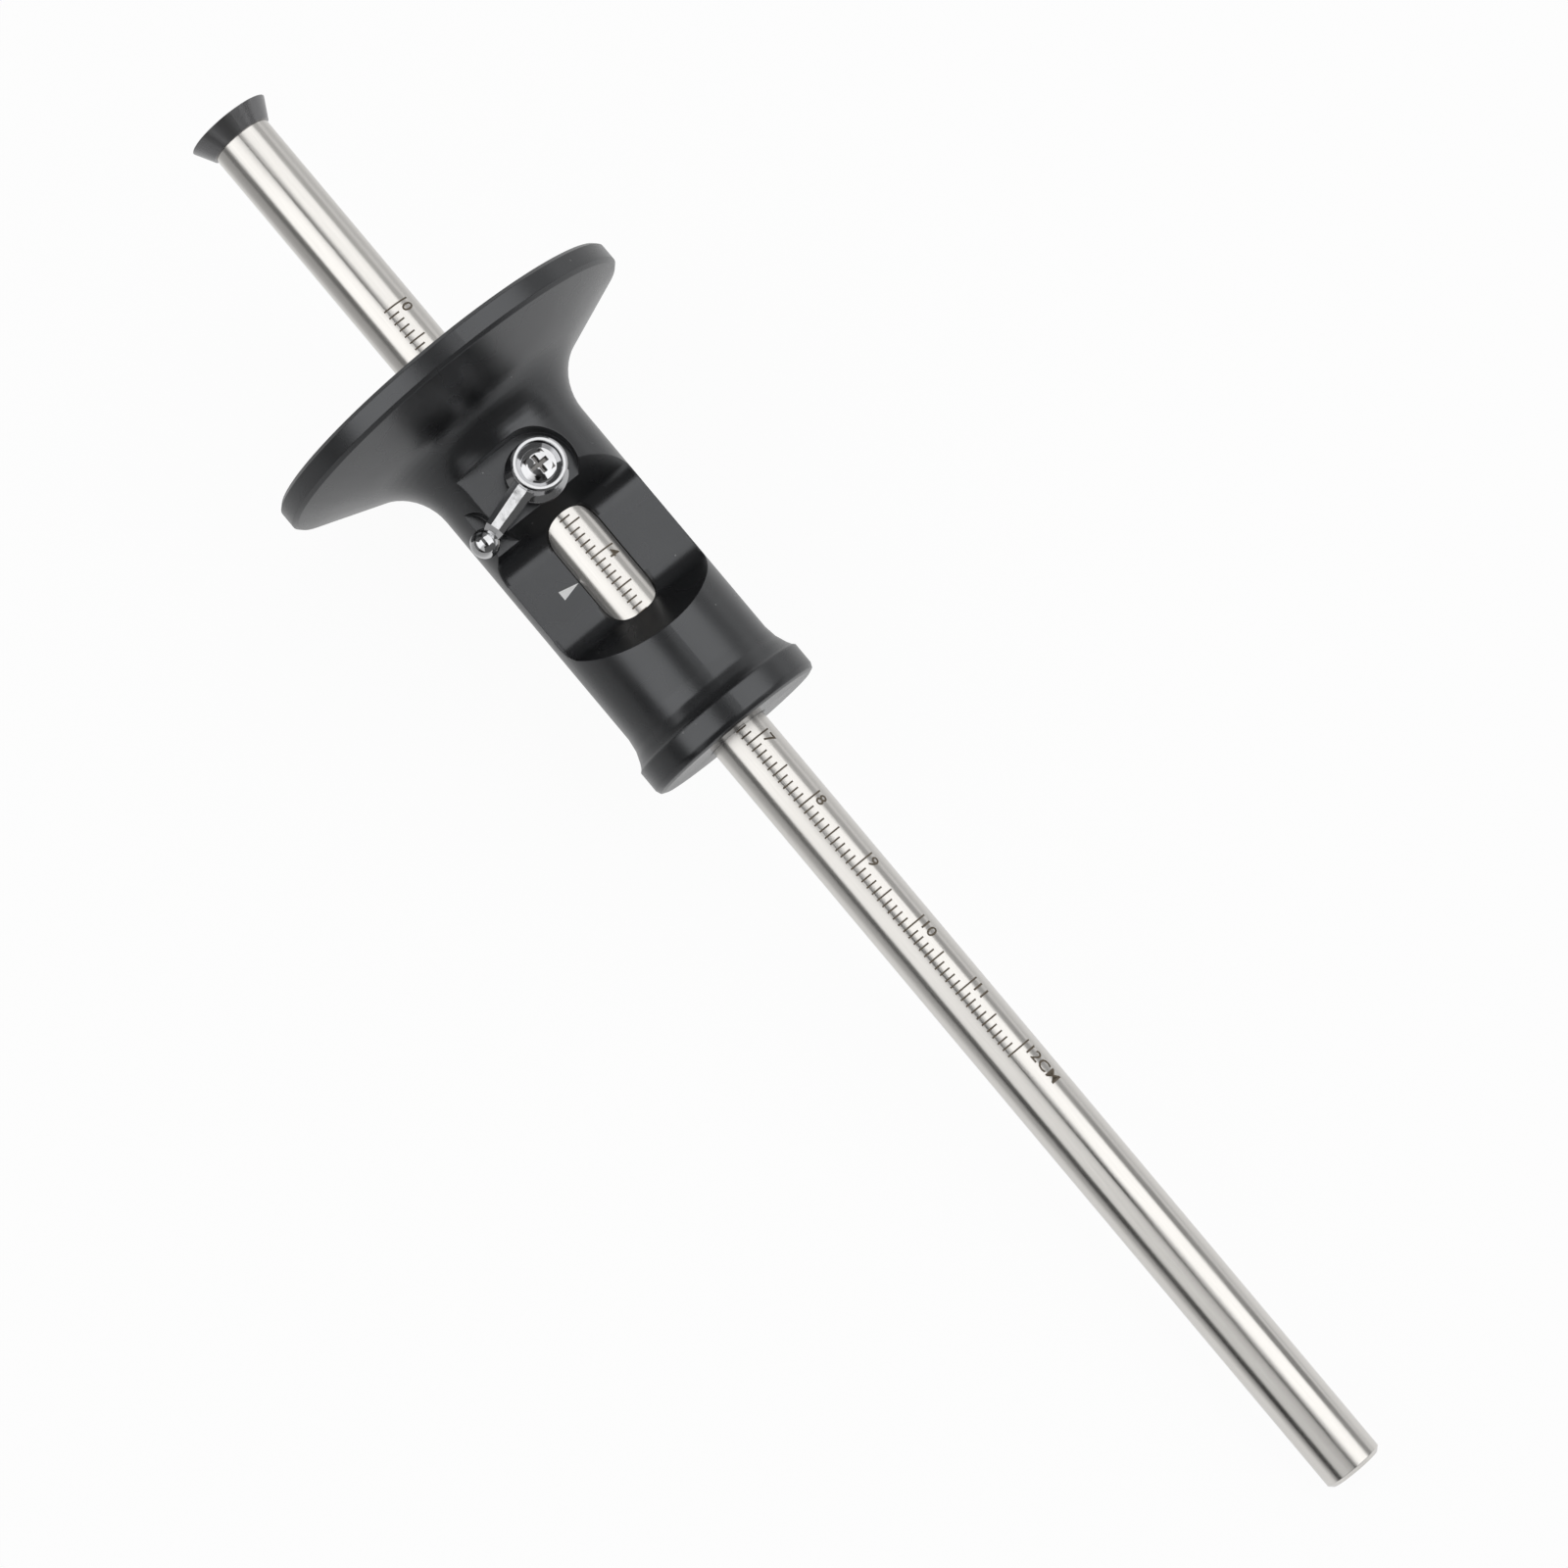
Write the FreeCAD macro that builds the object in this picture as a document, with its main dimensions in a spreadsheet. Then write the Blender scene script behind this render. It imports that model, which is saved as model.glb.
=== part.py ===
import FreeCAD, Part
import math
import os

import Sketcher

# Wheel marking gauge. Millimetres. The origin is the centre of the fence face on the rod axis,
# +X points out of the fence toward the cutting wheel and +Z up through the window.

os.makedirs("parts", exist_ok=True)
doc = FreeCAD.newDocument("wheel_marking_gauge")

SIZES = {
    # fence and handle, turned as one piece
    "fence_radius": 26.0,
    "rim_thickness": 3.2,
    "rim_chamfer": 0.5,
    "cone_depth": 5.85,
    "neck_round": 8.0,
    "neck_steps": 10,
    "handle_radius": 11.0,
    "body_length": 57.7,
    "flange_radius": 12.5,
    "flange_width": 4.1,
    "flange_round": 0.9,
    "flange_crest_chamfer": 0.35,
    "flare_length": 3.8,
    "flare_toe_length": 2.1,
    "flare_toe_height": 0.25,
    "flare_shoulder_length": 0.65,
    "flare_shoulder_height": 0.8,
    "bore_clearance": 0.06,
    "bore_chamfer": 0.4,
    "wheel_recess_clearance": 0.45,
    "wheel_recess_extra_depth": 0.5,
    # window: a saddle cut deep enough to open the bore and show the rod
    "window_centre": 31.0,
    "window_flat_height": 1.9,
    "window_flat_half_length": 6.66,
    "window_ramp_angle": 60.0,
    "window_fillet": 4.0,
    "cut_overrun": 3.0,
    # seat of the lever
    "hub_back": 17.8,
    "recess_radius": 5.25,
    "recess_floor": 7.45,
    "knob_pocket_floor": 4.8,
    "knob_pocket_inner": 8.1,
    "knob_pocket_width": 5.5,
    "knob_pocket_start": 4.0,
    "knob_pocket_sweep": 56.0,
    # rod and cutting wheel
    "rod_radius": 4.0,
    "rod_length": 214.85,
    "rod_tail_chamfer": 0.5,
    "scale_side_angle": 10.0,
    "wheel_reach": 41.5,
    "wheel_radius": 5.7,
    "wheel_thickness": 2.55,
    "wheel_back_radius": 4.3,
    "wheel_screw_radius": 1.5,
    "wheel_screw_length": 10.0,
    "wheel_screw_head_radius": 2.75,
    "wheel_screw_clearance": 0.05,
    "tapped_clearance": 0.02,
    "tapped_hole_extra": 1.5,
    "star_radius": 1.0,
    "star_lobe_radius": 0.33,
    "star_depth": 1.1,
    "star_lobes": 6,
    # friction ring in the bore
    "ring_setback": 11.5,
    "ring_section_radius": 0.65,
    "ring_section_sides": 4,
    "ring_rod_clearance": 0.02,
    "ring_groove_clearance": 0.04,
    # clamp: brass pad, threaded stud, lever and its screw
    "pad_radius": 2.0,
    "pad_clearance": 0.05,
    "pad_rod_gap": 0.06,
    "pad_top": 5.4,
    "stud_radius": 2.5,
    "stud_clearance": 0.03,
    "tapped_floor": 5.2,
    "stud_thread_top": 8.2,
    "spline_top": 11.2,
    "spline_root_radius": 2.05,
    "spline_tooth_height": 0.3,
    "spline_tooth_width": 0.5,
    "spline_teeth": 12,
    "spline_clearance": 0.03,
    "hub_bottom": 7.65,
    "hub_foot_height": 0.9,
    "hub_foot_radius": 3.95,
    "hub_waist_inset": 0.75,
    "hub_top": 13.2,
    "hub_top_radius": 3.5,
    "hub_chamfer": 0.25,
    "head_pocket_depth": 1.6,
    "arm_angle": 105.0,
    "arm_root": 2.8,
    "arm_root_width": 3.0,
    "arm_root_height": 2.5,
    "arm_root_middle": 10.3,
    "arm_tip": 9.0,
    "arm_tip_width": 2.5,
    "arm_tip_height": 2.0,
    "arm_tip_middle": 8.8,
    "arm_facet_share": 0.46,
    "arm_facet_angle": 40.0,
    "knob_reach": 10.8,
    "knob_radius": 1.9,
    "knob_middle": 7.2,
    "knob_neck_setback": 0.5,
    "knob_neck_size": 1.8,
    "lever_screw_head_radius": 2.8,
    "lever_screw_head_height": 1.5,
    "dome_radius": 5.6,
    "dome_steps": 4,
    "head_side_clearance": 0.08,
    "lever_screw_radius": 1.25,
    "lever_screw_bottom": 7.0,
    "cross_length": 1.25,
    "cross_width": 0.6,
    "cross_depth": 0.9,
    "cross_arms": 4,
}

sheet = doc.addObject("Spreadsheet::Sheet", "sizes")
for row, (word, number) in enumerate(SIZES.items(), start=1):
    sheet.set(f"A{row}", word)
    sheet.set(f"B{row}", str(number))
    sheet.setAlias(f"B{row}", word)
doc.recompute()

UP_TO_THE_SKY = "sizes.handle_radius + sizes.cut_overrun"
RING_PLACE = "-sizes.body_length + sizes.ring_setback"


def new_body(name, where=()):
    """An empty body; where holds (placement property, expression) pairs."""
    body = doc.addObject("PartDesign::Body", name)
    body.Label = name
    for prop, formula in where:
        body.setExpression(f"Placement.{prop}", formula)
    return body


def origin_item(body, role):
    """One of the body's own origin planes or axes."""
    return next(item for item in body.Origin.OriginFeatures if item.Role == role)


def new_sketch(body, name, role, offsets=()):
    """A sketch on one of the body's own origin planes; offsets are along the sketch's axes."""
    sketch = body.newObject("Sketcher::SketchObject", name)
    sketch.AttachmentSupport = [(origin_item(body, role), "")]
    sketch.MapMode = "FlatFace"
    for axis, formula in offsets:
        sketch.setExpression(f"AttachmentOffset.Base.{axis}", formula)
    return sketch


def value_of(formula):
    """What a formula of the sizes comes to now."""
    return float(sheet.evalExpression(formula))


def pin(sketch, geometry, point, across, along):
    """Fix one point of the sketch at two formulas of the sizes."""
    for kind, formula in (("DistanceX", across), ("DistanceY", along)):
        index = sketch.addConstraint(
            Sketcher.Constraint(kind, geometry, point, value_of(formula))
        )
        sketch.setExpression(f"Constraints[{index}]", formula)


def draw_outline(sketch, corners):
    """A closed outline of straight lines; each corner is a pair of formulas."""
    places = [FreeCAD.Vector(value_of(across), value_of(along), 0) for across, along in corners]
    for i, place in enumerate(places):
        sketch.addGeometry(Part.LineSegment(place, places[(i + 1) % len(places)]))
    for i, corner in enumerate(corners):
        before = (i - 1) % len(corners)
        sketch.addConstraint(Sketcher.Constraint("Coincident", before, 2, i, 1))
        pin(sketch, i, 1, *corner)


def draw_circle(sketch, across, along, radius):
    circle = Part.Circle(FreeCAD.Vector(0, 0, 0), FreeCAD.Vector(0, 0, 1), 1)
    index = sketch.addGeometry(circle)
    pin(sketch, index, 3, across, along)
    rule = sketch.addConstraint(Sketcher.Constraint("Radius", index, 1.0))
    sketch.setExpression(f"Constraints[{rule}]", radius)


def revolve(body, sketch, name, about="H_Axis"):
    feature = body.newObject("PartDesign::Revolution", name)
    feature.Profile = sketch
    feature.ReferenceAxis = (sketch, [about])
    feature.Angle = 360
    return feature


def pocket_up(body, sketch, name, depth=UP_TO_THE_SKY):
    """Cut from the sketch toward its own normal."""
    feature = body.newObject("PartDesign::Pocket", name)
    feature.Profile = sketch
    feature.Reversed = True
    feature.setExpression("Length", depth)
    return feature


def pocket_down(body, sketch, name, depth):
    """Cut from the sketch against its own normal."""
    feature = body.newObject("PartDesign::Pocket", name)
    feature.Profile = sketch
    feature.setExpression("Length", depth)
    return feature


def repeat_round(body, feature, name, count):
    """Copies of one feature round the Z axis of its body."""
    pattern = body.newObject("PartDesign::PolarPattern", name)
    pattern.Originals = [feature]
    pattern.Axis = (origin_item(body, "Z_Axis"), [""])
    pattern.Angle = 360
    pattern.setExpression("Occurrences", count)
    body.Tip = pattern
    return pattern


def fillet(body, base, name, is_wanted, radius):
    """Round the edges of the feature whose middle point passes the test."""
    doc.recompute()
    edges = []
    for number, edge in enumerate(base.Shape.Edges, start=1):
        if is_wanted(edge):
            edges.append(f"Edge{number}")
    feature = body.newObject("PartDesign::Fillet", name)
    feature.Base = (base, edges)
    feature.setExpression("Radius", radius)
    return feature


def is_cross_line(edge, across, height):
    """A straight edge along Y at this X and Z."""
    box = edge.BoundBox
    same_x = abs(box.XMin - across) < 1e-3 and abs(box.XMax - across) < 1e-3
    same_z = abs(box.ZMin - height) < 1e-3 and abs(box.ZMax - height) < 1e-3
    return same_x and same_z


def draw_slot(sketch, start, end, radius):
    """A slot with round ends whose two centres lie one above the other along the sketch's Y."""
    side = FreeCAD.Vector(-1, 0, 0)
    up = FreeCAD.Vector(0, 0, 1)
    near = FreeCAD.Vector(0, 0, 0)
    far = FreeCAD.Vector(0, 4, 0)
    sketch.addGeometry(Part.ArcOfCircle(Part.Circle(near, up, 1), math.pi, 2 * math.pi))
    sketch.addGeometry(Part.ArcOfCircle(Part.Circle(far, up, 1), 0, math.pi))
    sketch.addGeometry(Part.LineSegment(near - side, far - side))
    sketch.addGeometry(Part.LineSegment(far + side, near + side))
    for line, line_point, arc, arc_point in ((2, 1, 0, 2), (2, 2, 1, 1), (3, 1, 1, 2), (3, 2, 0, 1)):
        sketch.addConstraint(Sketcher.Constraint("Tangent", line, line_point, arc, arc_point))
    sketch.addConstraint(Sketcher.Constraint("Equal", 0, 1))
    rule = sketch.addConstraint(Sketcher.Constraint("Radius", 0, 1.0))
    sketch.setExpression(f"Constraints[{rule}]", radius)
    pin(sketch, 0, 3, *start)
    pin(sketch, 1, 3, *end)


def neck_corners():
    """The hollow round from the fence's cone down to the handle, in short steps."""
    cone_height = "(sizes.fence_radius - sizes.rim_chamfer - sizes.handle_radius)"
    slope = f"atan({cone_height} / sizes.cone_depth)"
    end = f"(sizes.rim_thickness + sizes.cone_depth + sizes.neck_round * tan({slope} / 2))"
    corners = []
    for step in range(SIZES["neck_steps"], -1, -1):
        turn = f"({slope} * {step} / sizes.neck_steps)"
        corners.append((
            f"-{end} + sizes.neck_round * sin({turn})",
            f"sizes.handle_radius + sizes.neck_round * (1 - cos({turn}))",
        ))
    return corners


def turned_blank(body):
    """The revolved outline of the fence, the handle and the rear flange, still without its bore."""
    crest = "sizes.body_length - sizes.flange_width"
    inset = "sizes.flange_round * (1 - cos(45))"
    sketch = new_sketch(body, "body_profile", "XZ_Plane")
    draw_outline(sketch, [
        ("0", "0"),
        ("0", "sizes.fence_radius - sizes.rim_chamfer"),
        ("-sizes.rim_chamfer", "sizes.fence_radius"),
        ("-sizes.rim_thickness + sizes.rim_chamfer", "sizes.fence_radius"),
        ("-sizes.rim_thickness", "sizes.fence_radius - sizes.rim_chamfer"),
        *neck_corners(),
        (f"-({crest} - sizes.flare_length)", "sizes.handle_radius"),
        (f"-({crest} - sizes.flare_toe_length)", "sizes.handle_radius + sizes.flare_toe_height"),
        (
            f"-({crest} - sizes.flare_shoulder_length)",
            "sizes.handle_radius + sizes.flare_shoulder_height",
        ),
        (f"-({crest})", "sizes.flange_radius - sizes.flange_crest_chamfer"),
        (f"-({crest} + sizes.flange_crest_chamfer)", "sizes.flange_radius"),
        ("-sizes.body_length + sizes.flange_round", "sizes.flange_radius"),
        (f"-sizes.body_length + {inset}", f"sizes.flange_radius - {inset}"),
        ("-sizes.body_length", "sizes.flange_radius - sizes.flange_round"),
        ("-sizes.body_length", "0"),
    ])
    revolve(body, sketch, "turned_blank")


def cut_round(body, name, corners):
    """Turn out the inside of the body along this outline round the rod axis."""
    sketch = new_sketch(body, f"{name}_profile", "XZ_Plane")
    draw_outline(sketch, corners)
    groove = body.newObject("PartDesign::Groove", name)
    groove.Profile = sketch
    groove.ReferenceAxis = (sketch, ["H_Axis"])
    groove.Angle = 360


def cut_bore(body):
    """The bore of the rod, the wheel's recess in the fence face and the friction ring's groove."""
    bore = "sizes.rod_radius + sizes.bore_clearance"
    recess = "sizes.wheel_radius + sizes.wheel_recess_clearance"
    recess_back = "-(sizes.wheel_thickness + sizes.wheel_recess_extra_depth)"
    cut_round(body, "stepped_bore", [
        ("0", "0"),
        ("0", recess),
        (recess_back, recess),
        (recess_back, bore),
        ("-sizes.body_length + sizes.bore_chamfer", bore),
        ("-sizes.body_length", f"{bore} + sizes.bore_chamfer"),
        ("-sizes.body_length", "0"),
    ])
    half = "(sizes.ring_section_radius + sizes.ring_groove_clearance)"
    top = (
        "sizes.rod_radius + sizes.ring_rod_clearance + 2 * sizes.ring_section_radius"
        " + sizes.ring_groove_clearance"
    )
    cut_round(body, "ring_groove", [
        (f"{RING_PLACE} - {half}", "sizes.rod_radius"),
        (f"{RING_PLACE} + {half}", "sizes.rod_radius"),
        (f"{RING_PLACE} + {half}", top),
        (f"{RING_PLACE} - {half}", top),
    ])


def cut_saddle(body):
    """The window: a flat with two rounded ramps, cut across the handle below the rod's crown."""
    sketch = new_sketch(body, "window_profile", "XZ_Plane")
    top = f"({UP_TO_THE_SKY})"
    run = f"({top} - sizes.window_flat_height) / tan(sizes.window_ramp_angle)"
    draw_outline(sketch, [
        ("-sizes.window_centre - sizes.window_flat_half_length", "sizes.window_flat_height"),
        ("-sizes.window_centre + sizes.window_flat_half_length", "sizes.window_flat_height"),
        (f"-sizes.window_centre + sizes.window_flat_half_length + {run}", top),
        (f"-sizes.window_centre - sizes.window_flat_half_length - {run}", top),
    ])
    saddle = body.newObject("PartDesign::Pocket", "window_saddle")
    saddle.Profile = sketch
    saddle.Midplane = True
    saddle.setExpression("Length", f"2 * {top}")

    flat = SIZES["window_flat_height"]
    ends = [
        -SIZES["window_centre"] + sign * SIZES["window_flat_half_length"] for sign in (-1, 1)
    ]
    fillet(
        body, saddle, "window_round",
        lambda edge: any(is_cross_line(edge, end, flat) for end in ends),
        "sizes.window_fillet",
    )


def cut_lever_seat(body):
    """The recess under the lever, open to +Y, and the arc that clears the knob's swing."""
    seat = new_sketch(body, "recess_outline", "XY_Plane", [("z", "sizes.recess_floor")])
    draw_slot(
        seat,
        ("-sizes.hub_back", "0"),
        ("-sizes.hub_back", "sizes.handle_radius + sizes.recess_radius"),
        "sizes.recess_radius",
    )
    pocket_up(body, seat, "lever_recess")

    middle = "(sizes.knob_pocket_inner + sizes.knob_pocket_width / 2)"
    start = new_sketch(body, "knob_pocket_end", "XY_Plane", [("z", "sizes.knob_pocket_floor")])
    draw_circle(
        start,
        f"-sizes.hub_back - {middle} * sin(sizes.knob_pocket_start)",
        f"{middle} * cos(sizes.knob_pocket_start)",
        "sizes.knob_pocket_width / 2",
    )
    pocket_up(body, start, "knob_pocket_round")

    sweep = new_sketch(body, "knob_pocket_profile", "YZ_Plane", [("z", "-sizes.hub_back")])
    turn = FreeCAD.Rotation(FreeCAD.Vector(0, 1, 0), SIZES["knob_pocket_start"])
    sweep.AttachmentOffset = FreeCAD.Placement(sweep.AttachmentOffset.Base, turn)
    sweep.setExpression("AttachmentOffset.Rotation.Angle", "sizes.knob_pocket_start")
    outer = "sizes.knob_pocket_inner + sizes.knob_pocket_width"
    draw_outline(sweep, [
        ("sizes.knob_pocket_inner", "sizes.knob_pocket_floor"),
        (outer, "sizes.knob_pocket_floor"),
        (outer, UP_TO_THE_SKY),
        ("sizes.knob_pocket_inner", UP_TO_THE_SKY),
    ])
    groove = body.newObject("PartDesign::Groove", "knob_pocket_sweep")
    groove.Profile = sweep
    groove.ReferenceAxis = (sweep, ["V_Axis"])
    groove.setExpression("Angle", "sizes.knob_pocket_sweep")


def cut_clamp_holes(body):
    """The bore of the brass pad and the tapped hole of the stud, both on the lever axis."""
    hub = ("-sizes.hub_back", "0")
    pad_hole = new_sketch(body, "pad_hole_outline", "XY_Plane")
    draw_circle(pad_hole, *hub, "sizes.pad_radius + sizes.pad_clearance")
    pocket_up(body, pad_hole, "pad_hole")
    tapped = new_sketch(body, "tapped_hole_outline", "XY_Plane", [("z", "sizes.tapped_floor")])
    draw_circle(tapped, *hub, "sizes.stud_radius + sizes.stud_clearance")
    pocket_up(body, tapped, "tapped_hole")


def build_fence_body():
    body = new_body("fence_body")
    turned_blank(body)
    cut_saddle(body)
    cut_bore(body)
    cut_lever_seat(body)
    cut_clamp_holes(body)
    return body


ROD_FRONT = "sizes.wheel_reach - sizes.wheel_thickness"


def build_rod():
    """The graduated rod; its own X starts at the wheel's end and its own Z leans to the scale."""
    body = new_body("rod", [("Base.x", ROD_FRONT)])
    lean = FreeCAD.Rotation(FreeCAD.Vector(-1, 0, 0), SIZES["scale_side_angle"])
    body.Placement.Rotation = lean
    body.setExpression("Placement.Rotation.Angle", "sizes.scale_side_angle")
    sketch = new_sketch(body, "rod_profile", "XZ_Plane")
    hole = "sizes.wheel_screw_radius + sizes.tapped_clearance"
    depth = "(sizes.wheel_screw_length - sizes.wheel_thickness + sizes.tapped_hole_extra)"
    draw_outline(sketch, [
        (f"-{depth}", "0"),
        (f"-{depth}", hole),
        ("0", hole),
        ("0", "sizes.rod_radius"),
        ("-sizes.rod_length + sizes.rod_tail_chamfer", "sizes.rod_radius"),
        ("-sizes.rod_length", "sizes.rod_radius - sizes.rod_tail_chamfer"),
        ("-sizes.rod_length", "0"),
    ])
    revolve(body, sketch, "rod_turning")
    return body


def build_cutter_wheel():
    """The hardened wheel: flat outer face, sharp edge, bevel toward the fence."""
    body = new_body("cutter_wheel", [("Base.x", "sizes.wheel_reach")])
    sketch = new_sketch(body, "wheel_profile", "XZ_Plane")
    bore = "sizes.wheel_screw_radius + sizes.wheel_screw_clearance"
    mouth = "sizes.wheel_screw_head_radius + sizes.wheel_screw_clearance"
    draw_outline(sketch, [
        ("0", mouth),
        ("0", "sizes.wheel_radius"),
        ("-sizes.wheel_thickness", "sizes.wheel_back_radius"),
        ("-sizes.wheel_thickness", bore),
        ("-(sizes.wheel_screw_head_radius - sizes.wheel_screw_radius)", bore),
    ])
    revolve(body, sketch, "wheel_turning")
    return body


def build_wheel_screw():
    """Countersunk screw with a six-lobe recess; its own Z points out of the head."""
    body = new_body("wheel_screw", [("Base.x", "sizes.wheel_reach")])
    body.Placement.Rotation = FreeCAD.Rotation(FreeCAD.Vector(0, 1, 0), 90)
    sketch = new_sketch(body, "screw_profile", "XZ_Plane")
    draw_outline(sketch, [
        ("0", "0"),
        ("sizes.wheel_screw_head_radius", "0"),
        ("sizes.wheel_screw_radius", "-(sizes.wheel_screw_head_radius - sizes.wheel_screw_radius)"),
        ("sizes.wheel_screw_radius", "-sizes.wheel_screw_length"),
        ("0", "-sizes.wheel_screw_length"),
    ])
    revolve(body, sketch, "screw_turning", "V_Axis")
    core = new_sketch(body, "star_core", "XY_Plane")
    draw_circle(core, "0", "0", "sizes.star_radius")
    pocket_down(body, core, "star_socket", "sizes.star_depth")
    lobe = new_sketch(body, "star_lobe", "XY_Plane")
    draw_circle(lobe, "sizes.star_radius", "0", "sizes.star_lobe_radius")
    cut = pocket_down(body, lobe, "star_lobe_cut", "sizes.star_depth")
    repeat_round(body, cut, "star_lobe_ring", "sizes.star_lobes")
    return body


def build_friction_ring():
    """The rubber ring in the bore that keeps the unlocked rod from dropping."""
    body = new_body("rod_friction_ring", [("Base.x", RING_PLACE)])
    sketch = new_sketch(body, "ring_section", "XZ_Plane")
    middle = "sizes.rod_radius + sizes.ring_rod_clearance + sizes.ring_section_radius"
    corners = []
    for corner in range(SIZES["ring_section_sides"]):
        angle = f"({corner} + 0.5) * 360 / sizes.ring_section_sides"
        reach = "sizes.ring_section_radius / cos(180 / sizes.ring_section_sides)"
        corners.append((f"{reach} * cos({angle})", f"{middle} + {reach} * sin({angle})"))
    draw_outline(sketch, corners)
    revolve(body, sketch, "ring_turning")
    return body


HUB_AXIS = [("Base.x", "-sizes.hub_back")]


def new_lever_body(name):
    """A body on the lever axis whose own X runs along the arm."""
    body = new_body(name, HUB_AXIS)
    body.Placement.Rotation = FreeCAD.Rotation(FreeCAD.Vector(0, 0, 1), SIZES["arm_angle"])
    body.setExpression("Placement.Rotation.Angle", "sizes.arm_angle")
    return body


def build_clamp_pad():
    """The brass plug between the stud and the rod."""
    body = new_body("clamp_pad", HUB_AXIS)
    bottom = "(sizes.rod_radius + sizes.pad_rod_gap)"
    sketch = new_sketch(body, "pad_outline", "XY_Plane", [("z", bottom)])
    draw_circle(sketch, "0", "0", "sizes.pad_radius")
    pad = body.newObject("PartDesign::Pad", "pad_plug")
    pad.Profile = sketch
    pad.setExpression("Length", f"sizes.pad_top - {bottom}")
    return body


def draw_spline_tooth(sketch, clearance):
    """One pointed tooth at +X, sunk a little into the core so that the two join."""
    root = "sizes.spline_root_radius"
    half = f"sizes.spline_tooth_width / 2 + {clearance}"
    draw_outline(sketch, [
        (f"{root} * 0.9", f"-({half})"),
        (root, f"-({half})"),
        (f"{root} + sizes.spline_tooth_height + {clearance}", "0"),
        (root, half),
        (f"{root} * 0.9", half),
    ])


def build_clamp_stud():
    """The threaded stud with a splined head for the lever and a tapped hole for its screw."""
    body = new_lever_body("clamp_stud")
    hole = "sizes.lever_screw_radius + sizes.tapped_clearance"
    sketch = new_sketch(body, "stud_profile", "XZ_Plane")
    draw_outline(sketch, [
        ("0", "sizes.pad_top"),
        ("sizes.stud_radius", "sizes.pad_top"),
        ("sizes.stud_radius", "sizes.stud_thread_top"),
        ("sizes.spline_root_radius", "sizes.stud_thread_top"),
        ("sizes.spline_root_radius", "sizes.spline_top"),
        (hole, "sizes.spline_top"),
        (hole, "sizes.lever_screw_bottom - sizes.tapped_clearance"),
        ("0", "sizes.lever_screw_bottom - sizes.tapped_clearance"),
    ])
    revolve(body, sketch, "stud_turning", "V_Axis")
    tooth = new_sketch(body, "tooth_outline", "XY_Plane", [("z", "sizes.stud_thread_top")])
    draw_spline_tooth(tooth, "0")
    pad = body.newObject("PartDesign::Pad", "spline_tooth")
    pad.Profile = tooth
    pad.setExpression("Length", "sizes.spline_top - sizes.stud_thread_top")
    repeat_round(body, pad, "spline", "sizes.spline_teeth")
    return body


def draw_arm_section(sketch, width, height, middle):
    """An eight-sided bar section with a flat facet on top and one below."""
    facet = f"({width} * sizes.arm_facet_share / 2)"
    edge = f"({width} / 2)"
    top = f"({height} / 2)"
    shoulder = f"({top} - ({edge} - {facet}) * tan(sizes.arm_facet_angle))"
    draw_outline(sketch, [
        (facet, f"{middle} + {top}"),
        (edge, f"{middle} + {shoulder}"),
        (edge, f"{middle} - {shoulder}"),
        (facet, f"{middle} - {top}"),
        (f"-{facet}", f"{middle} - {top}"),
        (f"-{edge}", f"{middle} - {shoulder}"),
        (f"-{edge}", f"{middle} + {shoulder}"),
        (f"-{facet}", f"{middle} + {top}"),
    ])


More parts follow.
